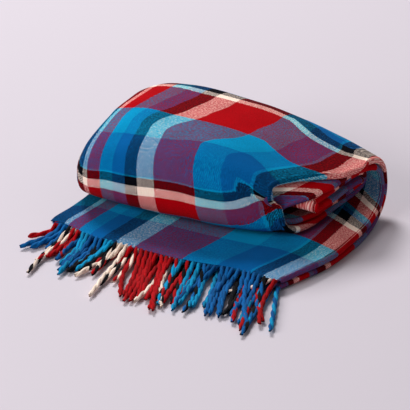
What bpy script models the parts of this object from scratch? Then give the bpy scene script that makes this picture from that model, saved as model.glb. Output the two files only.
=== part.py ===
"""A fringed woollen travel rug, folded lengthwise in four, folded across and loosely rolled towards
its fringed ends, which are left lying out in front as a flap. Metres, +Z up, roll axis along X."""

import math

import bmesh
import bpy
import numpy as np

SLAB = 0.0094  # four plies of napped wool lying on one another
PARTING = 0.0016  # between the two halves of the rug
LEAD = 0.0244  # how far each turn of the roll lies inside the last
FLOOR_Z = 0.0
# How square the roll is at the back below and above, and under its front lip, where 2 is round. Its
# shoulder, above the lip, differs across the rug and is a column of the table.
SQUARE = (2.3, 2.7, 3.6)
TONGUE_TURN = 1.62  # turns of the roll up to the fold across the rug
FOLD_RADIUS = 0.0072
SIT_BACK = 0.0832  # puts the middle of the whole object on the origin
SIT_LEFT = 0.2055
STEP_ROLL = 0.021
STEP_FLAP = 0.036

TASSEL_SIDE = 0.0032
TASSELS = 44
STRIP_DEEP = 0.003
STRIP_HIGH = 0.0042
APART = 0.0008

# Across the rug from its left fold to its right one: where the flap ends in front, the front and the
# back of the roll, its height, how far the inner turn sags off the outer one, and how square the shoulder is.
ACROSS = ("share", "flap", "front", "back", "high", "sag", "shoulder")
SECTIONS = (
    (0.00, 0.002, 0.080, 0.268, 0.122, 0.004, 2.2),
    (0.03, 0.003, 0.063, 0.280, 0.138, 0.007, 2.2),
    (0.09, -0.001, 0.051, 0.292, 0.151, 0.015, 2.2),
    (0.20, -0.011, 0.047, 0.298, 0.158, 0.020, 2.4),
    (0.33, -0.013, 0.046, 0.300, 0.157, 0.021, 2.9),
    (0.46, -0.016, 0.048, 0.300, 0.154, 0.020, 3.6),
    (0.58, -0.017, 0.050, 0.300, 0.149, 0.017, 4.2),
    (0.70, -0.012, 0.053, 0.299, 0.139, 0.012, 4.2),
    (0.81, -0.004, 0.062, 0.298, 0.127, 0.006, 3.6),
    (0.90, -0.006, 0.074, 0.296, 0.117, 0.003, 3.0),
    (0.96, -0.008, 0.085, 0.294, 0.109, 0.001, 2.7),
    (1.00, -0.007, 0.092, 0.292, 0.103, 0.000, 2.6),
)
# Along the rug in turns of the roll, the flap counted below zero: where its left and right folds lie.
ALONG = ("turn", "left", "right")
EDGES = (
    (-0.50, 0.010, 0.378),
    (-0.25, 0.016, 0.408),
    (0.00, 0.012, 0.412),
    (0.25, 0.016, 0.398),
    (0.50, 0.026, 0.376),
    (0.62, 0.028, 0.346),
    (0.75, 0.014, 0.316),
    (0.87, 0.006, 0.332),
    (1.00, 0.010, 0.354),
    (1.25, 0.018, 0.378),
    (1.50, 0.020, 0.370),
    (1.75, 0.018, 0.350),
)
# The tassels by distance from the left: how far each leans right for a metre forwards, and its length.
FRINGE = ("along", "lean", "long")
LIES = (
    (0.00, -0.45, 0.070),
    (0.05, 0.00, 0.082),
    (0.12, 0.20, 0.098),
    (0.18, 0.38, 0.108),
    (0.25, 0.44, 0.122),
    (0.31, 0.44, 0.132),
    (0.38, 0.40, 0.114),
)


def column(names, rows, name, at):
    """The named column of a table, read between its rows with a smooth curve."""
    knots = np.array([row[0] for row in rows])
    values = np.array([row[names.index(name)] for row in rows])
    slopes = np.gradient(values, knots)
    at = np.clip(np.asarray(at, float), knots[0], knots[-1])
    k = np.clip(np.searchsorted(knots, at) - 1, 0, len(knots) - 2)
    h = knots[k + 1] - knots[k]
    t = (at - knots[k]) / h
    return (
        values[k] * (1 + 2 * t) * (1 - t) ** 2
        + values[k + 1] * t * t * (3 - 2 * t)
        + slopes[k] * h * t * (1 - t) ** 2
        - slopes[k + 1] * h * t * t * (1 - t)
    )


def across(name, share):
    return column(ACROSS, SECTIONS, name, share)


def wound(share):
    """One fine section (turn, y, z) of the middle of the two halves: flap, then spiral to the core."""
    both = 2 * SLAB + PARTING
    front, back, high = across("front", share), across("back", share), across("high", share)
    tall = (high - both + LEAD / 2) / 2
    deep = (back - front - both + LEAD) / 2
    mid_y = back - both / 2 - deep + LEAD / 4
    mid_z = FLOOR_Z + both / 2 + tall
    turn = np.linspace(0, TONGUE_TURN, 700)
    angle = 2 * math.pi * turn
    sag = across("sag", share) * np.clip((turn - 1.12) / 0.38, 0, 1) ** 2
    side, rise = np.sin(angle), -np.cos(angle)
    below, behind, lip = SQUARE
    square = np.array([below, behind, across("shoulder", share), lip])[np.floor(turn * 4).astype(int) % 4]
    y = mid_y + (deep - LEAD * turn - 0.4 * sag) * np.sign(side) * np.abs(side) ** (2 / square)
    z = mid_z + (tall - LEAD * turn - sag) * np.sign(rise) * np.abs(rise) ** (2 / square)
    flap = across("flap", share)
    lead_in = np.linspace(flap, y[0], 60)[:-1]
    turns = np.linspace(-0.5, 0, 60)[:-1]
    return (
        np.concatenate([turns, turn]),
        np.concatenate([lead_in, y]),
        np.concatenate([np.full(59, FLOOR_Z + both / 2), z]),
    )


def halves(share, shares_out):
    """The middle line of the whole ribbon: upper half in, round the fold across the rug, lower half out."""
    turn, y, z = wound(share)
    along = np.concatenate([[0], np.cumsum(np.hypot(np.diff(y), np.diff(z)))])
    at = shares_out * along[-1]
    py, pz, pt = np.interp(at, along, y), np.interp(at, along, z), np.interp(at, along, turn)
    ty = np.interp(at + 0.004, along, y) - np.interp(at - 0.004, along, y)
    tz = np.interp(at + 0.004, along, z) - np.interp(at - 0.004, along, z)
    size = np.hypot(ty, tz)
    ny, nz = -tz / size, ty / size
    flat = pt <= 0
    ny[flat], nz[flat] = 0, 1
    off = (SLAB + PARTING) / 2
    # The fold swells a little beyond the thickness of the two halves.
    last = np.array([ty[-1], tz[-1]]) / size[-1]
    over = np.array([ny[-1], nz[-1]])
    end = np.array([py[-1], pz[-1]])
    bend = []
    for step in (35, 65, 90, 115, 145):
        a = math.radians(step)
        bend.append(end + last * (0.002 + FOLD_RADIUS * math.sin(a)) + over * FOLD_RADIUS * math.cos(a))
    bend = np.array(bend)
    upper = np.stack([py + ny * off, pz + nz * off], 1)
    lower = np.stack([py - ny * off, pz - nz * off], 1)[::-1]
    turns = np.concatenate([pt, np.full(len(bend), pt[-1]), pt[::-1]])
    return np.concatenate([upper, bend, lower]), turns


def thickened(line):
    """The two faces of a ribbon of the slab's thickness about its middle line, mitred at each facet."""
    step = np.diff(line, axis=0)
    step /= np.linalg.norm(step, axis=1)[:, None]
    before = np.vstack([step[:1], step])
    after = np.vstack([step, step[-1:]])
    mean = before + after
    mean /= np.linalg.norm(mean, axis=1)[:, None]
    mitre = 1 / np.maximum(0.5, (mean * after).sum(1))
    out = np.stack([-mean[:, 1], mean[:, 0]], 1) * (SLAB / 2 * mitre)[:, None]
    return line + out, line - out


def spacing():
    """Shares of the path at which the ribbon is cut into facets: longer on the flap, even on the roll."""
    turn, y, z = wound(0.5)
    along = np.concatenate([[0], np.cumsum(np.hypot(np.diff(y), np.diff(z)))])
    flat = along[turn <= 0][-1]
    first = np.linspace(0, flat, int(round(flat / STEP_FLAP)) + 1)[:-1]
    rest = np.linspace(flat, along[-1], int(round((along[-1] - flat) / STEP_ROLL)) + 1)
    return np.concatenate([first, rest]) / along[-1]


def material(name, colour, rough):
    made = bpy.data.materials.new(name)
    made.use_nodes = True
    shader = made.node_tree.nodes["Principled BSDF"]
    shader.inputs["Base Color"].default_value = (*colour, 1)
    shader.inputs["Roughness"].default_value = rough
    made.diffuse_color = (*colour, 1)
    return made


def placed(name, mesh, colour, rough=0.9):
    """Adds the mesh as a named object, moved so that the object as a whole sits on the origin."""
    bmesh.ops.translate(mesh, vec=(-SIT_LEFT, -SIT_BACK, 0), verts=mesh.verts)
    bmesh.ops.recalc_face_normals(mesh, faces=mesh.faces)
    for face in mesh.faces:
        face.smooth = True
    data = bpy.data.meshes.new(name)
    mesh.to_mesh(data)
    mesh.free()
    data.materials.append(material(name + "_wool", colour, rough))
    made = bpy.data.objects.new(name, data)
    bpy.context.scene.collection.objects.link(made)
    return made


def rug():
    """The cloth: both halves of it as one ribbon, wound up together, with the slab's thickness."""
    cuts = spacing()
    shares = [row[0] for row in SECTIONS]
    line, turns = halves(0.5, cuts)
    mesh = bmesh.new()
    bmesh.ops.create_grid(mesh, x_segments=len(line) - 1, y_segments=len(shares) - 1, size=0.5)
    ends = bmesh.ops.extrude_face_region(mesh, geom=mesh.faces[:])["geom"]
    far = [v for v in ends if isinstance(v, bmesh.types.BMVert)]
    bmesh.ops.translate(mesh, vec=(0, 0, -1), verts=far)
    grid = sorted(mesh.verts, key=lambda v: (v.co.z < -0.5, round(v.co.y, 5), v.co.x))
    one_face = len(line) * len(shares)
    for j, share in enumerate(shares):
        line, turns = halves(share, cuts)
        left = column(ALONG, EDGES, "left", turns)
        right = column(ALONG, EDGES, "right", turns)
        for face, points in enumerate(thickened(line)):
            for i, (y, z) in enumerate(points):
                x = left[i] + (right[i] - left[i]) * share
                grid[face * one_face + j * len(line) + i].co = (x, y, z)
    return placed("rug", mesh, (0.03, 0.16, 0.42))


def front_edge(x):
    """Where the flap ends in front, by distance from the left."""
    left, right = EDGES[0][1], EDGES[0][2]
    ends = [left + (right - left) * row[0] for row in SECTIONS]
    return float(np.interp(x, ends, [row[1] for row in SECTIONS]))


def fringe(name, root_z, half_step, reach, fall, colour):
    """A row of tassels drawn out of the front of a narrow strip along the cloth's edge."""
    left, right = EDGES[0][1] + 0.003, EDGES[0][2] - 0.003
    pitch = (right - left) / TASSELS
    count = TASSELS - (1 if half_step else 0)
    edges = [left]
    for n in range(count):
        mid = left + pitch * (n + (1.0 if half_step else 0.5))
        edges += [mid - TASSEL_SIDE / 2, mid + TASSEL_SIDE / 2]
    edges.append(right)
    mesh = bmesh.new()
    bmesh.ops.create_grid(mesh, x_segments=len(edges) - 1, y_segments=1, size=0.5)
    mesh.verts.ensure_lookup_table()
    columns = sorted(mesh.verts, key=lambda v: (round(v.co.x, 6), v.co.y))
    for n, x in enumerate(edges):
        front = front_edge(x) - APART - STRIP_DEEP
        columns[2 * n].co = (x, front, root_z - STRIP_HIGH / 2)
        columns[2 * n + 1].co = (x, front, root_z + STRIP_HIGH / 2)
    ahead = sorted(mesh.faces, key=lambda f: f.calc_center_median().x)
    back = bmesh.ops.extrude_face_region(mesh, geom=ahead)["geom"]
    moved = [v for v in back if isinstance(v, bmesh.types.BMVert)]
    bmesh.ops.translate(mesh, vec=(0, STRIP_DEEP, 0), verts=moved)
    for n, face in enumerate(ahead[1::2]):
        root = face.calc_center_median()
        wave = 0.5 * math.sin(2.1 * n + 0.6) + 0.5 * math.sin(0.9 * n + 2.0)
        lean = column(FRINGE, LIES, "lean", root.x)
        long = column(FRINGE, LIES, "long", root.x) * (1 + 0.05 * wave) * reach / math.hypot(1, lean)
        for share, drop in fall:
            face = bmesh.ops.extrude_discrete_faces(mesh, faces=[face])["faces"][0]
            y = root.y - long * share
            x = root.x + lean * long * share
            z = root_z + (FLOOR_Z + TASSEL_SIDE / 2 - root_z) * drop
            side = TASSEL_SIDE / 2
            here = face.calc_center_median()
            for vert in face.verts:
                right_of, above = vert.co.x > here.x, vert.co.z > here.z
                vert.co = (x + (side if right_of else -side), y, z + (side if above else -side))
    return placed(name, mesh, colour)


for old in list(bpy.data.objects):
    bpy.data.objects.remove(old, do_unlink=True)

rug()
fringe("fringe_upper", SLAB * 1.5 + PARTING, False, 1.0,
       ((0.06, 0.03), (0.2, 0.28), (0.36, 0.72), (0.5, 1.0), (1.0, 1.0)), (0.55, 0.02, 0.03))
fringe("fringe_lower", SLAB / 2, True, 0.96,
       ((0.05, 0.2), (0.16, 1.0), (0.55, 1.0), (1.0, 1.0)), (0.02, 0.2, 0.5))
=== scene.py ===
"""A fringed woollen travel rug in a bold check, folded lengthwise in four, folded across, and loosely
rolled towards its fringed ends, which lie out in front of the roll."""

import math

import bmesh
import bpy
import numpy as np
from mathutils import Matrix, Vector


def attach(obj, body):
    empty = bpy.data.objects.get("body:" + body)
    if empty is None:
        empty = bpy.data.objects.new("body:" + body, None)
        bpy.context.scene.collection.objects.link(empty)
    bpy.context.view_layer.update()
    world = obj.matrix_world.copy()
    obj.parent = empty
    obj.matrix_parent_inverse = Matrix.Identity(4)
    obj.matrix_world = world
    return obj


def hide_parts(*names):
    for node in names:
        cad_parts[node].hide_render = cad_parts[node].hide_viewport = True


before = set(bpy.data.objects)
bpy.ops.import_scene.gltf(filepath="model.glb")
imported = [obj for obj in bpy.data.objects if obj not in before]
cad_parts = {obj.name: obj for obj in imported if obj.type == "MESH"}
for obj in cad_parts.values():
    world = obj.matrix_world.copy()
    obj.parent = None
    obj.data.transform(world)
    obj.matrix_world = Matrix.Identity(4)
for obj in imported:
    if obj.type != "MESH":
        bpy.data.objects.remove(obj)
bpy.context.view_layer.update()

# The cloth
# One piece of napped woollen twill, 1.5 m by about 2.2 m. It is folded lengthwise in four plies and folded
# across so that its fringed ends meet. From that fold it is rolled up, as two halves of four plies each.

SLAB = 0.0094  # one half, which is four plies
PARTING = 0.0016  # between the two halves
LEAD = 0.0244  # from one turn of the roll to the next
SQUARE = (2.3, 2.7, 3.6)  # how square the roll is below, behind and at its lip, where 2 is round
TONGUE_TURN = 1.62  # where the fold across lies in the core of the roll
# From the left front corner of the flap to the middle of the rug's box.
SIT_BACK, SIT_LEFT = 0.0832, 0.2055
QUARTER = 0.375  # one lengthwise ply
PLY_OUT = 0.0046  # how far the outer and inner plies lie from the middle of their slab
PLY_IN = 0.0015
INNER_SHORT = 0.006  # how far the inner right fold stops short of the outer one
FLOOR_GAP = 0.0004  # the least height of the cloth above the floor

# Across the folded rug from its left folds to its right ones: where the flap ends, the front and the
# back of the roll, its height, how far the inner turn sags away from the outer one, and how square the
# roll's shoulder is.
ACROSS = ("share", "flap", "front", "back", "high", "sag", "shoulder")
SECTIONS = (
    (0.00, 0.002, 0.080, 0.268, 0.122, 0.004, 2.2),
    (0.03, 0.003, 0.063, 0.280, 0.138, 0.007, 2.2),
    (0.09, -0.001, 0.051, 0.292, 0.151, 0.015, 2.2),
    (0.20, -0.011, 0.047, 0.298, 0.158, 0.020, 2.4),
    (0.33, -0.013, 0.046, 0.300, 0.157, 0.021, 2.9),
    (0.46, -0.016, 0.048, 0.300, 0.154, 0.020, 3.6),
    (0.58, -0.017, 0.050, 0.300, 0.149, 0.017, 4.2),
    (0.70, -0.012, 0.053, 0.299, 0.139, 0.012, 4.2),
    (0.81, -0.004, 0.062, 0.298, 0.127, 0.006, 3.6),
    (0.90, -0.006, 0.074, 0.296, 0.117, 0.003, 3.0),
    (0.96, -0.008, 0.085, 0.294, 0.109, 0.001, 2.7),
    (1.00, -0.007, 0.092, 0.292, 0.103, 0.000, 2.6),
)
SAG_FROM, SAG_OVER = 1.12, 0.38  # the turns over which the sag comes in
SAG_IN = 0.4  # how much of the sag the turn also moves inwards
# Along the rug in turns of the roll, the flap below zero: where the left and right folds of the solid lie,
# the right folds of the outer half and of the inner half, how far the stripes drift to the right, and how
# far the outer half has slipped round its right fold.
ALONG = ("turn", "left", "right", "outer", "inner", "drift", "slip")
EDGES = (
    (-0.50, 0.010, 0.378, 0.378, 0.380, -0.004, 0.000),
    (-0.25, 0.016, 0.408, 0.408, 0.410, -0.006, 0.000),
    (0.00, 0.012, 0.412, 0.412, 0.412, 0.000, 0.000),
    (0.25, 0.016, 0.398, 0.398, 0.398, 0.010, 0.000),
    (0.42, 0.018, 0.385, 0.394, 0.388, 0.018, 0.000),
    (0.48, 0.020, 0.379, 0.396, 0.381, 0.014, 0.006),
    (0.51, 0.020, 0.374, 0.378, 0.378, 0.008, 0.020),
    (0.54, 0.021, 0.367, 0.338, 0.374, 0.004, 0.030),
    (0.56, 0.021, 0.361, 0.320, 0.368, 0.004, 0.030),
    (0.60, 0.020, 0.351, 0.318, 0.358, 0.006, 0.026),
    (0.66, 0.014, 0.335, 0.322, 0.340, 0.010, 0.026),
    (0.72, 0.009, 0.322, 0.328, 0.326, 0.014, 0.028),
    (0.80, 0.005, 0.321, 0.336, 0.318, 0.016, 0.030),
    (0.86, 0.004, 0.331, 0.342, 0.330, 0.012, 0.026),
    (1.00, 0.010, 0.354, 0.354, 0.354, 0.000, 0.000),
    (1.25, 0.018, 0.378, 0.378, 0.378, 0.000, 0.000),
    (1.50, 0.020, 0.370, 0.370, 0.374, 0.000, 0.000),
    (1.75, 0.018, 0.350, 0.352, 0.354, 0.000, 0.000),
)
SLIP_POWER = 6  # the slip gathers close to the right fold
LEFT_SLIP = 0.010  # the stripes' slip round the left fold between the outer and inner plies
LEFT_SLIP_POWER = 5
DRIFT_PEAK = 6.75  # brings share * (1 - share) ** 2 to 1 where it is highest
# How far the stripes of the outer half are dragged down the front of the roll. Each drag comes in past a
# first place and goes before a last one, each over a stretch of its own: in metres from the left, then in
# turns. The first is the shoulder beside the open end, the second the cloth beyond it, and the third the
# cloth below.
DRAGS = (
    (0.026, (0.170, 0.100), (0.316, 0.028), (0.49, 0.10), (0.69, 0.10)),
    (-0.066, (0.270, 0.090), (0.500, 0.028), (0.28, 0.14), (0.66, 0.05)),
    (-0.014, (0.270, 0.050), (0.500, 0.028), (0.74, 0.08), (0.90, 0.08)),
)
# Low waves over the cloth: their share, and how fast they run across and along it, for each metre.
WAVES = ((0.38, 31, 17), (0.30, -23, 46), (0.20, 71, -38), (0.12, 60, 97))
WAVE_STARTS = (12.9, 78.2, 37.7, 93.9)  # scatter where each wave starts
WAVE_HIGH = 0.0013
ROLL_LONG = 0.38  # the roll from end to end, for the waves
FOLD_SWELL = 0.12  # how unevenly the folds stand out
END_STRETCH = 0.014  # the plies close up over this length towards a fringed end
END_CLOSED = 0.55  # to this share of their distance apart
END_POWER = 0.6
CORE_ROUND = 0.001  # the cloth that the fold across takes for each radian

FLAP_STEPS, ROLL_STEPS = 79, 900  # of one fine section
PATH_STEPS = 400  # of the line that the cloth's length is measured on
REACH = 0.006  # either side of a place, to find which way the roll runs there
CUTS = 41  # the sections between which the cloth is laid
# The stretches of the rolled length and how closely each is cut: flap, underside, outer turn, core.
STRETCHES = ((0.0, 0.11, 0.0042), (0.11, 0.27, 0.009), (0.27, 0.72, 0.0048), (0.72, 1.0, 0.008))
CORE_STEPS = 8  # round the fold across
# Columns over one ply: the one that faces the other half, the one that shows, and the two between them.
FACING_COLUMNS, SHOWN_COLUMNS, INNER_COLUMNS = 56, 86, 13
BEND = [math.radians(d) for d in (-90, -68, -45, -23, 0, 23, 45, 68, 90)]  # round a lengthwise fold
OUTER_BEND_STEP, INNER_BEND_STEP = 0.0018, 0.001  # the cloth that one step of a bend takes


def column(names, rows, name, at):
    """The named column of a table, read between its rows with a smooth curve."""
    knots = np.array([row[0] for row in rows])
    values = np.array([row[names.index(name)] for row in rows])
    slopes = np.gradient(values, knots)
    at = np.clip(np.asarray(at, float), knots[0], knots[-1])
    k = np.clip(np.searchsorted(knots, at) - 1, 0, len(knots) - 2)
    h = knots[k + 1] - knots[k]
    t = (at - knots[k]) / h
    return (
        values[k] * (1 + 2 * t) * (1 - t) ** 2
        + values[k + 1] * t * t * (3 - 2 * t)
        + slopes[k] * h * t * (1 - t) ** 2
        - slopes[k + 1] * h * t * t * (1 - t)
    )


def across(name, share):
    """A measure of the roll at a share of the way from its left folds to its right ones."""
    return float(column(ACROSS, SECTIONS, name, share))


def edge(name, turn):
    """A measure of the folds and stripes at a turn of the roll."""
    return column(ALONG, EDGES, name, turn)


def wound(share):
    """One fine section (turn, y, z) midway between the two halves: flap, then spiral to the core."""
    both = 2 * SLAB + PARTING
    front, back, high = across("front", share), across("back", share), across("high", share)
    tall = (high - both + LEAD / 2) / 2
    deep = (back - front - both + LEAD) / 2
    mid_y = back - both / 2 - deep + LEAD / 4
    mid_z = both / 2 + tall
    turn = np.linspace(0, TONGUE_TURN, ROLL_STEPS)
    angle = 2 * math.pi * turn
    sag = across("sag", share) * np.clip((turn - SAG_FROM) / SAG_OVER, 0, 1) ** 2
    side, rise = np.sin(angle), -np.cos(angle)
    below, behind, lip = SQUARE
    square = np.array([below, behind, across("shoulder", share), lip])[np.floor(turn * 4).astype(int) % 4]
    y = mid_y + (deep - LEAD * turn - SAG_IN * sag) * np.sign(side) * np.abs(side) ** (2 / square)
    z = mid_z + (tall - LEAD * turn - sag) * np.sign(rise) * np.abs(rise) ** (2 / square)
    lead_in = np.linspace(across("flap", share), y[0], FLAP_STEPS + 1)[:-1]
    turns = np.linspace(EDGES[0][0], 0, FLAP_STEPS + 1)[:-1]
    return (
        np.concatenate([turns, turn]),
        np.concatenate([lead_in, y]),
        np.concatenate([np.full(FLAP_STEPS, both / 2), z]),
    )


def path_at(share, lengths):
    """Turn, middle line and normal of the rolled halves at shares of the path's length."""
    turn, y, z = wound(share)
    along = np.concatenate([[0], np.cumsum(np.hypot(np.diff(y), np.diff(z)))])
    at = lengths * along[-1]
    ty = np.interp(at + REACH, along, y) - np.interp(at - REACH, along, y)
    tz = np.interp(at + REACH, along, z) - np.interp(at - REACH, along, z)
    size = np.hypot(ty, tz)
    line = np.stack([np.interp(at, along, y), np.interp(at, along, z)], 1)
    normal = np.stack([-tz / size, ty / size], 1)
    turns = np.interp(at, along, turn)
    normal[turns <= 0] = (0, 1)
    return turns, line, normal


def uneven(a, b, seed):
    """Gentle unevenness between -1 and 1 over two lengths in metres."""
    starts = 40 * np.sin(seed * np.array(WAVE_STARTS))
    return sum(high * np.sin(on_a * a + on_b * b + start) for (high, on_a, on_b), start in zip(WAVES, starts))


def within(value, start, end):
    """From 0 to 1 past the start and back to 0 before the end, each given as a place and a stretch."""
    (first, rise), (last, fall) = start, end
    return np.clip((value - first) / rise, 0, 1) * np.clip((last - value) / fall, 0, 1)


def lengthwise():
    """Rows of the cloth from one fringe to the other: half, share of the path, angle round the fold."""
    steps = []
    for start, end, step in STRETCHES:
        steps += list(np.linspace(start, end, int((end - start) / step) + 1)[:-1])
    steps.append(1.0)
    rows = [(1, s, 0.0) for s in steps]
    rows += [(0, 1.0, math.pi * n / CORE_STEPS) for n in range(1, CORE_STEPS)]
    rows += [(-1, s, math.pi) for s in reversed(steps)]
    return rows


def crosswise():
    """Columns of the cloth from edge to edge: share across, how far past the end, offset, width used."""
    facing, shown, inner = FACING_COLUMNS, SHOWN_COLUMNS, INNER_COLUMNS
    mid, round_ = (PLY_OUT + PLY_IN) / 2, (PLY_OUT - PLY_IN) / 2
    columns = [(n / facing, 0.0, -PLY_OUT, QUARTER * n / facing) for n in range(facing)]
    for n, a in enumerate(BEND, -(len(BEND) // 2)):
        columns.append((1.0, PLY_OUT * math.cos(a), PLY_OUT * math.sin(a), QUARTER + OUTER_BEND_STEP * n))
    columns += [(n / shown, 0.0, PLY_OUT, 2 * QUARTER - QUARTER * n / shown) for n in range(shown - 1, 0, -1)]
    for n, a in enumerate(BEND[::2], -(len(BEND) // 4)):
        used = 2 * QUARTER + INNER_BEND_STEP * n
        columns.append((0.0, -round_ * math.cos(a), mid - round_ * math.sin(a), used))
    columns += [(n / inner, 0.0, PLY_IN, 2 * QUARTER + QUARTER * n / inner) for n in range(1, inner)]
    for n, a in enumerate(BEND[::2], -(len(BEND) // 4)):
        used = 3 * QUARTER + INNER_BEND_STEP * n
        columns.append((1.0, PLY_IN * math.cos(a) - INNER_SHORT, -PLY_IN * math.sin(a), used))
    for n in range(inner - 1, -1, -1):
        columns.append((n / inner, 0.0, -PLY_IN, 4 * QUARTER - QUARTER * n / inner))
    return columns


def laid_cloth(name):
    """The cloth as one open grid whose columns run from fringe to fringe, and the length of one half."""
    rows, columns = lengthwise(), crosswise()
    half, shares_along, angle = (np.array(part) for part in zip(*rows))
    path_long = np.hypot(*np.diff(path_at(0.5, np.linspace(0, 1, PATH_STEPS))[1], axis=0).T).sum()
    v_along = np.where(half >= 0, shares_along * path_long, (2 - shares_along) * path_long)
    v_along = v_along + np.where(half == 0, CORE_ROUND * angle, 0)
    outer_half = half == -1
    round_fold = np.stack([np.cos(angle), np.sin(angle)])[..., None]
    swell = 1 + FOLD_SWELL * uneven(v_along, 0.1, seed=3.0)
    closing = 1.0
    for from_end in (v_along, 2 * path_long - v_along):
        opened = np.clip(from_end / END_STRETCH, 0, 1) ** END_POWER
        closing = closing * (END_CLOSED + (1 - END_CLOSED) * opened)

    mesh = bmesh.new()
    bmesh.ops.create_grid(mesh, x_segments=len(columns) - 1, y_segments=len(rows) - 1, size=0.5)
    grid = sorted(mesh.verts, key=lambda v: (round(v.co.x, 6), v.co.y))
    uv = mesh.loops.layers.uv.new("cloth")
    where = {}
    cuts = [path_at(n / (CUTS - 1), shares_along) for n in range(CUTS)]
    cut_turn, cut_line, cut_normal = (np.array(part) for part in zip(*cuts))
    each = np.arange(len(rows))

    def laid(parts, at):
        """Turn, line or normal of every row at its own share of the way across the solid."""
        low = np.clip((at * (CUTS - 1)).astype(int), 0, CUTS - 2)
        part = at * (CUTS - 1) - low
        part = part if parts.ndim == 2 else part[:, None]
        return parts[low, each] * (1 - part) + parts[low + 1, each] * part

    for c, (share, past, off, wide) in enumerate(columns):
        turn = laid(cut_turn, np.full(len(rows), float(share)))
        left = edge("left", turn)
        right = np.where(outer_half, edge("outer", turn), edge("inner", turn))
        x = left + (right - left) * share + past * swell
        x = x + DRIFT_PEAK * share * (1 - share) ** 2 * edge("drift", turn)
        x = x - (PLY_OUT if past > 0 else 0)
        at = np.clip((x - left) / (edge("right", turn) - left), 0, 1)
        line, normal = laid(cut_line, at), laid(cut_normal, at)
        # The inner half lies on the normal's side, the outer half against it, and the core fold goes round.
        ahead = normal[:, ::-1] * (1, -1)
        out = normal * round_fold[0] + ahead * round_fold[1]
        from_middle = (SLAB + PARTING) / 2 + off * closing
        wave = WAVE_HIGH * uneven(share * ROLL_LONG, np.where(outer_half, -v_along, v_along), seed=1.0)
        y, z = (line + out * from_middle[:, None] + normal * np.where(half == 0, 0, wave)[:, None]).T
        z = np.maximum(z, FLOOR_GAP)
        pulled = sum(
            far * within(x, x_start, x_end) * within(turn, turn_start, turn_end)
            for far, x_start, x_end, turn_start, turn_end in DRAGS
        )
        slip = np.where(outer_half, share**SLIP_POWER * edge("slip", turn), 0) * (wide < 2 * QUARTER)
        slip = slip + LEFT_SLIP * (1 - share) ** LEFT_SLIP_POWER * (QUARTER < wide < 3 * QUARTER)
        v = v_along - np.where(outer_half, pulled, 0)
        for r, vert in enumerate(grid[c * len(rows) : (c + 1) * len(rows)]):
            vert.co = (x[r] - SIT_LEFT, y[r] - SIT_BACK, z[r])
            where[vert] = (wide + slip[r], v[r])
    for face in mesh.faces:
        face.smooth = True
        for loop in face.loops:
            loop[uv].uv = where[loop.vert]
    bmesh.ops.recalc_face_normals(mesh, faces=mesh.faces)
    return placed(name, mesh), path_long


def placed(name, mesh):
    """The finished mesh as an object of the scene."""
    data = bpy.data.meshes.new(name)
    mesh.to_mesh(data)
    mesh.free()
    made = bpy.data.objects.new(name, data)
    bpy.context.scene.collection.objects.link(made)
    return made


def yarn(red, green, blue):
    """Linear colour of a yarn from its everyday 0 to 255 values."""
    shares = (red / 255, green / 255, blue / 255)
    return tuple(((c + 0.055) / 1.055) ** 2.4 if c > 0.04 else c / 12.92 for c in shares)


YARNS = {
    "black": yarn(6, 7, 14),
    "cream": yarn(255, 232, 214),
    "red": yarn(170, 1, 12),
    "turquoise": yarn(2, 140, 188),
    "blue": yarn(4, 90, 154),
}
# The stripes of the warp from the edge of the cloth inwards, and of the weft from the fringe on, which
# repeat. The first weft stripe is wider at the fringe.
WARP = (
    ("turquoise", 0.020), ("blue", 0.050), ("black", 0.023), ("cream", 0.032), ("red", 0.0775),
    ("turquoise", 0.0505), ("blue", 0.0495), ("black", 0.0225), ("cream", 0.022), ("red", 0.031),
    ("cream", 0.022), ("black", 0.0185), ("turquoise", 0.004), ("blue", 0.0495), ("turquoise", 0.0505),
    ("red", 0.0775), ("cream", 0.032), ("black", 0.023), ("blue", 0.023), ("turquoise", 0.020),
    ("red", 0.023), ("cream", 0.012), ("black", 0.032), ("blue", 0.050), ("turquoise", 0.050),
    ("red", 0.0775), ("cream", 0.032), ("black", 0.023), ("blue", 0.050), ("turquoise", 0.050),
    ("red", 0.0775),
)
WARP_AGAIN = 5  # the last five stripes of the warp repeat to the far edge
WEFT = (
    ("blue", 0.050), ("turquoise", 0.056), ("red", 0.085), ("cream", 0.014), ("black", 0.022),
    ("blue", 0.010), ("turquoise", 0.010), ("red", 0.0245), ("cream", 0.0130), ("black", 0.0130),
    ("turquoise", 0.003),
)
FIRST_WIDER = 0.028
WEFT_SKEW = 0.05  # the weft runs a little out of square
SKEW_FROM = 0.6  # the place across the cloth from which that is counted
STRAY = 0.003  # how far the edges of the stripes stray
TWILL = 0.0038  # the slanting rib repeats at this spacing
RIB_SWING = 0.22  # how far the ribs change the mix of the two yarns
WEFT_SHOWS = 0.56
HAZE = 1.25  # how far stray hairs change it
EYE = 2.2  # the gamma at which the eye blends two yarns
PALE_FROM = 14.0  # how soon pale yarn crossed with blue counts as clear
PALE_CLEAR = 0.78  # how far it is then seen as clear, not as the blend
WARP_CLEAR, WEFT_CLEAR = 0.4, 0.6  # each yarn's part in that
# The nap's tone darkens its low pits as painted shade; the patches' tone differs at random.
NAP_TONE_AND_PIT_SHADE, PATCH_TONE, LEAST_TONE = 1.5, 0.40, 0.08
RIB_RAISED, NAP_RAISED = 0.7, 0.8
HAIR_HIGH = 0.0012


def stripes(tree, value, rows, total):
    """A ramp of the yarns along a length in metres. A new ramp has two stops already."""
    ramp = tree.nodes.new("ShaderNodeValToRGB")
    ramp.color_ramp.interpolation = "CONSTANT"
    at = 0.0
    for n, (name, wide) in enumerate(rows):
        stop = ramp.color_ramp.elements[n] if n < 2 else ramp.color_ramp.elements.new(min(1.0, at / total))
        stop.position = min(1.0, at / total)
        stop.color = (*YARNS[name], 1)
        at += wide
    tree.links.new(value, ramp.inputs["Fac"])
    return ramp.outputs["Color"]


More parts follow.
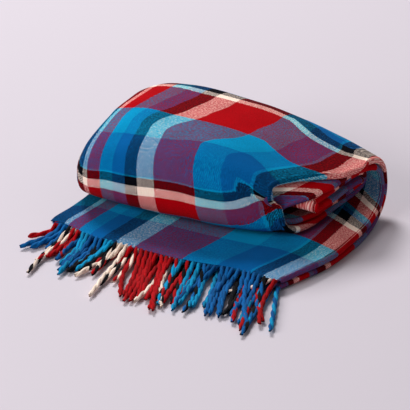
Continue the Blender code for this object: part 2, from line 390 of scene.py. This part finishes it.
def sums(tree, kind, *terms, clamp=False):
    """A math node on sockets and plain numbers."""
    node = tree.nodes.new("ShaderNodeMath")
    node.operation = kind
    node.use_clamp = clamp
    for socket, term in zip(node.inputs, terms):
        if isinstance(term, (int, float)):
            socket.default_value = term
        else:
            tree.links.new(term, socket)
    return node.outputs[0]


def mixed(tree, share, one, other, kind="MIX"):
    """Two colours mixed; share is a socket or a number."""
    node = tree.nodes.new("ShaderNodeMix")
    node.data_type = "RGBA"
    node.blend_type = kind
    if isinstance(share, (int, float)):
        node.inputs["Factor"].default_value = share
    else:
        tree.links.new(share, node.inputs["Factor"])
    tree.links.new(one, node.inputs["A"])
    tree.links.new(other, node.inputs["B"])
    return node.outputs["Result"]


def powered(tree, colour, power):
    """A colour with each of its parts raised to a power."""
    node = tree.nodes.new("ShaderNodeGamma")
    node.inputs["Gamma"].default_value = power
    tree.links.new(colour, node.inputs["Color"])
    return node.outputs["Color"]


def flecks(tree, place, scale, detail, roughness=0.5):
    """Random flecks from 0 to 1, with this many to the metre."""
    node = tree.nodes.new("ShaderNodeTexNoise")
    node.inputs["Scale"].default_value = scale
    node.inputs["Detail"].default_value = detail
    node.inputs["Roughness"].default_value = roughness
    tree.links.new(place, node.inputs["Vector"])
    return node.outputs["Fac"]


def woollen(tree, colour, tone, height, bumpy, rough, gloss, sheen, sheen_rough):
    """The shader of a woollen surface: its colour times a tone, raised hairs, and a low sheen."""
    shader = tree.nodes["Principled BSDF"]
    toned = tree.nodes.new("ShaderNodeVectorMath")
    toned.operation = "SCALE"
    tree.links.new(colour, toned.inputs[0])
    tree.links.new(tone, toned.inputs["Scale"])
    tree.links.new(toned.outputs[0], shader.inputs["Base Color"])
    bump = tree.nodes.new("ShaderNodeBump")
    bump.inputs["Strength"].default_value = bumpy
    bump.inputs["Distance"].default_value = HAIR_HIGH
    tree.links.new(height, bump.inputs["Height"])
    tree.links.new(bump.outputs["Normal"], shader.inputs["Normal"])
    shader.inputs["Roughness"].default_value = rough
    shader.inputs["Specular IOR Level"].default_value = gloss
    shader.inputs["Sheen Weight"].default_value = sheen
    shader.inputs["Sheen Roughness"].default_value = sheen_rough


def check_cloth():
    """The check: striped warp and weft crossing in a two-and-two twill, with a raised nap."""
    made = bpy.data.materials.new("check_twill")
    made.use_nodes = True
    tree = made.node_tree
    place = tree.nodes.new("ShaderNodeUVMap")
    place.uv_map = "cloth"
    on_cloth = place.outputs["UV"]
    apart = tree.nodes.new("ShaderNodeSeparateXYZ")
    tree.links.new(on_cloth, apart.inputs[0])
    hairs = sums(tree, "SUBTRACT", flecks(tree, on_cloth, scale=420, detail=3), 0.5)
    shift = sums(tree, "MULTIPLY", hairs, STRAY)
    u = sums(tree, "ADD", apart.outputs["X"], shift)
    v = sums(tree, "ADD", apart.outputs["Y"], shift)
    total = sum(wide for _, wide in WARP)
    again = sum(wide for _, wide in WARP[-WARP_AGAIN:])
    beyond = sums(tree, "DIVIDE", sums(tree, "SUBTRACT", u, total - again), again)
    groups = sums(tree, "FLOOR", sums(tree, "MAXIMUM", beyond, 0.0))
    along_warp = sums(tree, "SUBTRACT", u, sums(tree, "MULTIPLY", groups, again))
    warp = stripes(tree, sums(tree, "DIVIDE", along_warp, total), WARP, total)
    repeat = sum(wide for _, wide in WEFT)
    slanted = sums(tree, "ADD", v, sums(tree, "MULTIPLY", sums(tree, "SUBTRACT", u, SKEW_FROM), WEFT_SKEW))
    past_first = sums(tree, "MAXIMUM", sums(tree, "SUBTRACT", slanted, FIRST_WIDER), 0.0)
    weft = stripes(tree, sums(tree, "FRACT", sums(tree, "DIVIDE", past_first, repeat)), WEFT, repeat)
    # Twill: along each slanting rib the weft lies on top, and between ribs the warp.
    slant = sums(tree, "DIVIDE", sums(tree, "ADD", u, v), TWILL)
    rib = sums(tree, "MULTIPLY", sums(tree, "SINE", sums(tree, "MULTIPLY", slant, 2 * math.pi)), RIB_SWING)
    on_top = sums(tree, "ADD", rib, WEFT_SHOWS)
    on_top = sums(tree, "ADD", on_top, sums(tree, "MULTIPLY", hairs, HAZE), clamp=True)
    # The eye sees the two yarns blended, and pale yarn under blue or turquoise as a clear light blue.
    seen = mixed(tree, 0.5, powered(tree, warp, 1 / EYE), powered(tree, weft, 1 / EYE))
    sheer = mixed(tree, 1.0, powered(tree, warp, WARP_CLEAR), powered(tree, weft, WEFT_CLEAR), "MULTIPLY")
    parts = tree.nodes.new("ShaderNodeSeparateColor")
    tree.links.new(mixed(tree, 1.0, warp, weft, "MULTIPLY"), parts.inputs[0])
    pale = sums(tree, "MULTIPLY", parts.outputs["Green"], PALE_FROM, clamp=True)
    blended = mixed(tree, sums(tree, "MULTIPLY", pale, PALE_CLEAR), powered(tree, seen, EYE), sheer)
    # From the warp alone to the blend, and on to the weft alone.
    doubled = sums(tree, "MULTIPLY", on_top, 2.0)
    low = mixed(tree, sums(tree, "MULTIPLY", on_top, 2.0, clamp=True), warp, blended)
    colour = mixed(tree, sums(tree, "SUBTRACT", doubled, 1.0, clamp=True), low, weft)
    # Nap: long pale hairs, and painted shade in the small pits where the nap is low, over the weave, in
    # patches.
    nap = flecks(tree, on_cloth, scale=620, detail=5, roughness=0.7)
    patch = flecks(tree, on_cloth, scale=28, detail=2)
    tone = sums(tree, "ADD", sums(tree, "MULTIPLY", nap, NAP_TONE_AND_PIT_SHADE), sums(tree, "MULTIPLY", patch, PATCH_TONE))
    tone = sums(tree, "ADD", tone, LEAST_TONE)
    ribs_up, nap_up = sums(tree, "MULTIPLY", rib, RIB_RAISED), sums(tree, "MULTIPLY", nap, NAP_RAISED)
    raised = sums(tree, "ADD", ribs_up, nap_up)
    woollen(tree, colour, tone, raised, bumpy=0.55, rough=0.92, gloss=0.03, sheen=0.01, sheen_rough=0.45)
    return made


cloth, path_long = laid_cloth("rug_cloth")
cloth.data.materials.append(check_cloth())
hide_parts("rug")
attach(cloth, "root")

# The fringe
# The warp ends left long at both cut ends, twisted two yarns together into tassels. Those of the upper
# half lie over those of the lower half and splay out over the floor.

YARN_ROUND = 0.0028
YARN_SIDES = 6
TWIST_LONG = 0.038
TWIST_APART = 0.40  # how far the two yarns lie from the tassel's middle, as a share of their radius
TIP_THICK, TIP_TAPER = 0.45, 7  # a yarn's end, and how soon it comes to its full thickness
TASSEL_STEPS = 27
MERGE = 0.00002
ROOT_IN = 0.004  # how far the tassels start inside the cloth
# How each row lies: the height at which it leaves the cloth, the share of a tassel's length in which it
# comes down, how much higher it rests than on the floor, and how far its tips sink again.
UPPER_LIES = (SLAB * 1.5 + PARTING, 0.34, 0.0035, 0.0025)
LOWER_LIES = (SLAB / 2 + 0.001, 0.16, 0.0, 0.0)
SELVEDGE_LEFT, SELVEDGE_RIGHT = 0.004, 0.003  # from the cloth's folds to the tassels nearest them
LEAN_POWER = 1.25  # tassels lean more towards their tips
LONG_STRAY, BOW = 0.16, 0.12  # how much their lengths and their curves differ
RIPPLE_HIGH, RIPPLES = 0.0012, 9
# How far the yarn's tone follows its fibres: painted shade darkens the low gaps between them.
FIBRE_TONE_AND_GAP_SHADE, LEAST_TONE_IN_GAP_SHADE = 0.9, 0.55
# Groups of like tassels from the left: how many, their two yarns, how far they lean right for each metre
# forwards, how long they are, and how much they differ from one another.
UPPER = (
    (1, "red", "red", -0.68, 0.040, 0.1),
    (2, "blue", "blue", -0.28, 0.068, 0.2),
    (1, "black", "cream", 0.06, 0.112, 0.0),
    (1, "red", "cream", -0.09, 0.092, 0.0),
    (1, "red", "red", 0.11, 0.070, 0.0),
    (2, "turquoise", "turquoise", 0.14, 0.096, 0.2),
    (2, "blue", "blue", 0.04, 0.082, 0.3),
    (1, "blue", "black", -0.10, 0.076, 0.2),
    (2, "turquoise", "turquoise", -0.18, 0.080, 0.2),
    (1, "black", "cream", 0.10, 0.070, 0.1),
    (1, "cream", "cream", -0.22, 0.092, 0.0),
    (1, "cream", "cream", 0.14, 0.122, 0.0),
    (1, "red", "red", 0.02, 0.078, 0.0),
    (1, "red", "cream", 0.12, 0.084, 0.0),
    (7, "red", "red", 0.34, 0.120, 0.12),
    (1, "red", "turquoise", 0.27, 0.098, 0.0),
    (1, "turquoise", "turquoise", 0.21, 0.116, 0.0),
    (1, "red", "black", 0.29, 0.118, 0.0),
    (2, "turquoise", "turquoise", 0.30, 0.106, 0.15),
    (1, "blue", "black", 0.22, 0.112, 0.1),
    (6, "blue", "blue", 0.12, 0.104, 0.4),
    (4, "blue", "blue", 0.34, 0.122, 0.5),
    (1, "black", "blue", 0.28, 0.140, 0.0),
    (1, "black", "cream", -0.95, 0.068, 0.0),
    (1, "red", "red", 0.30, 0.118, 0.0),
)
LOWER = (
    (3, "blue", "blue", -0.10, 0.060, 0.3),
    (2, "red", "red", -0.05, 0.072, 0.3),
    (4, "blue", "blue", 0.05, 0.080, 0.3),
    (3, "black", "black", 0.05, 0.080, 0.3),
    (2, "red", "black", 0.10, 0.086, 0.3),
    (2, "black", "cream", 0.15, 0.092, 0.3),
    (6, "red", "red", 0.28, 0.108, 0.3),
    (2, "cream", "cream", 0.30, 0.116, 0.4),
    (2, "black", "black", 0.26, 0.104, 0.3),
    (2, "red", "red", 0.26, 0.104, 0.3),
    (4, "turquoise", "turquoise", 0.26, 0.100, 0.3),
    (3, "blue", "blue", 0.34, 0.108, 0.3),
    (2, "black", "black", 0.34, 0.112, 0.3),
    (3, "red", "red", 0.42, 0.126, 0.3),
    (3, "blue", "turquoise", 0.30, 0.130, 0.3),
)


def strand(mesh, shade, uv, centre, ply, colour):
    """One yarn as a tube round a centre line, twisted about it with its partner."""
    rings = len(centre)
    made = bmesh.ops.create_grid(mesh, x_segments=rings - 1, y_segments=YARN_SIDES, size=0.5)["verts"]
    made = sorted(made, key=lambda v: (round(v.co.x, 6), v.co.y))
    ahead = np.gradient(centre, axis=0)
    ahead /= np.linalg.norm(ahead, axis=1)[:, None]
    level = np.cross(ahead, (0, 0, 1.0))
    level /= np.linalg.norm(level, axis=1)[:, None]
    above = np.cross(level, ahead)
    along = np.concatenate([[0], np.cumsum(np.linalg.norm(np.diff(centre, axis=0), axis=1))])
    place = {}
    for r in range(rings):
        turn = 2 * math.pi * along[r] / TWIST_LONG + math.pi * ply
        thick = YARN_ROUND * min(1.0, TIP_THICK + TIP_TAPER * (along[-1] - along[r]) / along[-1])
        apart = YARN_ROUND * TWIST_APART
        middle = centre[r] + (level[r] * math.cos(turn) + above[r] * math.sin(turn)) * apart
        for s in range(YARN_SIDES + 1):
            a = 2 * math.pi * (s % YARN_SIDES) / YARN_SIDES
            vert = made[r * (YARN_SIDES + 1) + s]
            vert.co = Vector(middle + (level[r] * math.cos(a) + above[r] * math.sin(a)) * thick)
            place[vert] = (s / YARN_SIDES, along[r])
    for face in {f for v in made for f in v.link_faces}:
        face.smooth = True
        for loop in face.loops:
            loop[uv].uv = place[loop.vert]
            loop[shade] = (*colour, 1)


def fringe_row(name, groups, lies, seed, stagger):
    """A row of tassels along the end of the flap."""
    root_z, fall_share, higher, droop = lies
    chance = np.random.default_rng(seed)
    mesh = bmesh.new()
    shade = mesh.loops.layers.float_color.new("yarn")
    uv = mesh.loops.layers.uv.new("strand")
    total = sum(row[0] for row in groups)
    cloth_left, cloth_right = EDGES[0][1:3]
    left, right = cloth_left + SELVEDGE_LEFT, cloth_right - SELVEDGE_RIGHT
    pitch = (right - left) / total
    steps = np.linspace(0, 1, TASSEL_STEPS)
    fall = np.clip(steps / fall_share, 0, 1)
    fall = fall * fall * (3 - 2 * fall)
    each = [row[1:] for row in groups for _ in range(row[0])]
    for n, (one, other, lean, long, stray) in enumerate(each):
        x = left + pitch * (n + stagger)
        y = across("flap", (x - cloth_left) / (cloth_right - cloth_left)) + ROOT_IN
        my_lean = lean + stray * chance.uniform(-0.5, 0.5)
        my_long = long * (1 + LONG_STRAY * chance.uniform(-1, 1))
        bow = chance.uniform(-BOW, BOW) / 2
        forward = my_long / math.hypot(1, my_lean)
        line_x = x + my_lean * forward * steps**LEAN_POWER + bow * my_long * np.sin(math.pi * steps)
        line_y = y - (forward + ROOT_IN) * steps
        rest = YARN_ROUND * 2.0 + higher * (0.6 + 0.4 * chance.uniform(-1, 1))
        line_z = root_z + (rest - root_z) * fall + RIPPLE_HIGH * np.sin(RIPPLES * steps + n) * steps
        line_z = np.maximum(line_z - droop * steps, YARN_ROUND * 1.9)
        centre = np.stack([line_x - SIT_LEFT, line_y - SIT_BACK, line_z], 1)
        for ply, colour in enumerate((one, other)):
            tone = chance.uniform(0.72, 1.15)
            strand(mesh, shade, uv, centre, ply, [c * tone for c in YARNS[colour]])
    bmesh.ops.remove_doubles(mesh, verts=mesh.verts, dist=MERGE)
    bmesh.ops.recalc_face_normals(mesh, faces=mesh.faces)
    return placed(name, mesh)


def twisted_wool():
    """Soft two-ply wool: the yarn's own colour with fine fibres winding round it, and painted shade darkening
    the gaps between the fibres.
    """
    made = bpy.data.materials.new("twisted_wool")
    made.use_nodes = True
    tree = made.node_tree
    colour = tree.nodes.new("ShaderNodeAttribute")
    colour.attribute_name = "yarn"
    place = tree.nodes.new("ShaderNodeTexCoord")
    fibres = flecks(tree, place.outputs["Object"], scale=900, detail=4)
    tone = sums(tree, "ADD", sums(tree, "MULTIPLY", fibres, FIBRE_TONE_AND_GAP_SHADE), LEAST_TONE_IN_GAP_SHADE)
    own = colour.outputs["Color"]
    woollen(tree, own, tone, fibres, bumpy=0.8, rough=0.9, gloss=0.06, sheen=0.04, sheen_rough=0.5)
    return made


tassel_wool = twisted_wool()
upper = fringe_row("upper_fringe", UPPER, UPPER_LIES, seed=7, stagger=0.5)
lower = fringe_row("lower_fringe", LOWER, LOWER_LIES, seed=11, stagger=0.9)
for row, node in ((upper, "fringe_upper"), (lower, "fringe_lower")):
    row.data.materials.append(tassel_wool)
    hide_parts(node)
    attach(row, "root")

# The floor and the light
# A plain pale lavender-grey surface under broad soft light from the upper left.

FLOOR_HALF = 6
FLOOR_ROUGH = 0.9
FLOOR_COLOUR = (0.62, 0.565, 0.62, 1)
SKY_COLOUR = (1.0, 0.98, 1.0, 1)
SKY_STRENGTH = 0.21

floor_mesh = bmesh.new()
bmesh.ops.create_grid(floor_mesh, x_segments=1, y_segments=1, size=FLOOR_HALF)
floor = placed("floor", floor_mesh)
paper = bpy.data.materials.new("pale_paper")
paper.use_nodes = True
paper.node_tree.nodes["Principled BSDF"].inputs["Base Color"].default_value = FLOOR_COLOUR
paper.node_tree.nodes["Principled BSDF"].inputs["Roughness"].default_value = FLOOR_ROUGH
floor.data.materials.append(paper)

world = bpy.data.worlds.new("studio")
world.use_nodes = True
world.node_tree.nodes["Background"].inputs["Color"].default_value = SKY_COLOUR
world.node_tree.nodes["Background"].inputs["Strength"].default_value = SKY_STRENGTH
bpy.context.scene.world = world
bpy.context.scene.view_settings.view_transform = "Standard"
bpy.context.scene.view_settings.look = "None"


def soft_light(name, place, size, power):
    """A round lamp that points at the rug."""
    data = bpy.data.lights.new(name, "AREA")
    data.shape = "DISK"
    data.size = size
    data.energy = power
    made = bpy.data.objects.new(name, data)
    made.location = place
    made.rotation_euler = (-Vector(place)).to_track_quat("-Z", "Y").to_euler()
    bpy.context.scene.collection.objects.link(made)


soft_light("key", (-2.7, 2.5, 3.9), 1.9, 254)
soft_light("fill", (-1.3, -3.2, 2.0), 2.0, 98)

# The camera
# It looks from the photograph's side and height, so that the left front corner of the flap falls on the
# photograph's pixel for it.

TURN, RISE, AWAY = math.radians(28.5), math.radians(26), 4.5
PICTURE = 410  # pixels along the photograph's side
PIXELS_A_METRE = 715
CORNER_ACROSS, CORNER_DOWN = 42.7, 231.6  # the corner's pixel
FILM = 36
back = Vector((math.sin(TURN) * math.cos(RISE), -math.cos(TURN) * math.cos(RISE), math.sin(RISE)))
right = Vector((math.cos(TURN), math.sin(TURN), 0))
up = back.cross(right)
focus = Vector((0.0, -0.03, 0.05))  # in the rug, at the camera's distance
from_corner = right * (PICTURE / 2 - CORNER_ACROSS) + up * (CORNER_DOWN - PICTURE / 2)
aim = Vector((-SIT_LEFT, -SIT_BACK, 0)) + from_corner / PIXELS_A_METRE
camera_data = bpy.data.cameras.new("camera")
camera_data.sensor_width = FILM
camera_data.lens = FILM * PIXELS_A_METRE * AWAY / PICTURE
camera = bpy.data.objects.new("camera", camera_data)
stand = Matrix.Translation(aim + back * (AWAY + (focus - aim).dot(back)))
camera.matrix_world = stand @ Matrix((right, up, back)).transposed().to_4x4()
bpy.context.scene.collection.objects.link(camera)
bpy.context.scene.camera = camera
